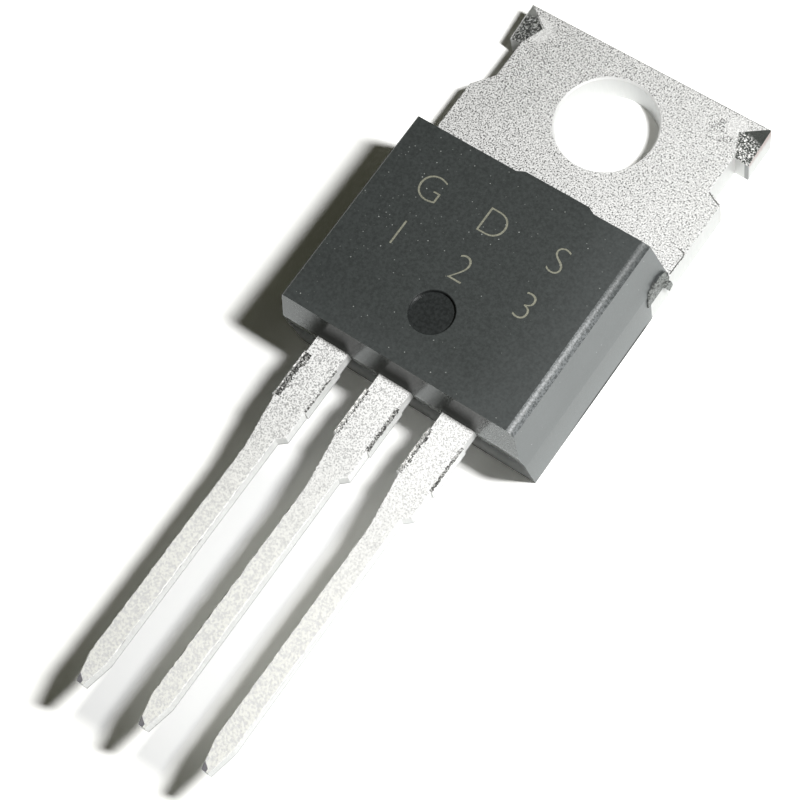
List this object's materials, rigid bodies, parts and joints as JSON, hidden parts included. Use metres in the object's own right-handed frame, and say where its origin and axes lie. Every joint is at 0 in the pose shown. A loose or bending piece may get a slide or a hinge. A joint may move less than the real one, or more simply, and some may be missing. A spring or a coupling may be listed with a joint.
{
  "type": "power transistor",
  "caption": "Leaded power transistor: a black moulded body on a punched metal tab with a bolt hole, and a row of straight leads.",
  "frame": {"origin": "centre of the mounting hole, on the mounting face (the back of the tab)", "axes": "+Z out of the mounting face through the tab towards the front of the body, +Y from the leads towards the top edge of the tab, +X across, towards the source lead"},
  "size_m": [0.0102, 0.0287, 0.0044],
  "materials": {
    "epoxy": "fine matte black moulding compound with pale filler specks",
    "tinned_copper": "matte tin plating with a dense fine grain, bare reddish copper at sheared edges",
    "solder": "dull soft solder",
    "silicon": "metallised silicon",
    "wire": "drawn aluminium"
  },
  "bodies": {
    "root": {"moulded_body": "epoxy", "tab_and_drain_lead": "tinned_copper", "gate_lead": "tinned_copper", "source_lead": "tinned_copper", "die_solder": "solder", "silicon_die": "silicon", "gate_wire": "wire", "source_wire_1": "wire", "source_wire_2": "wire"}
  },
  "joints": []
}
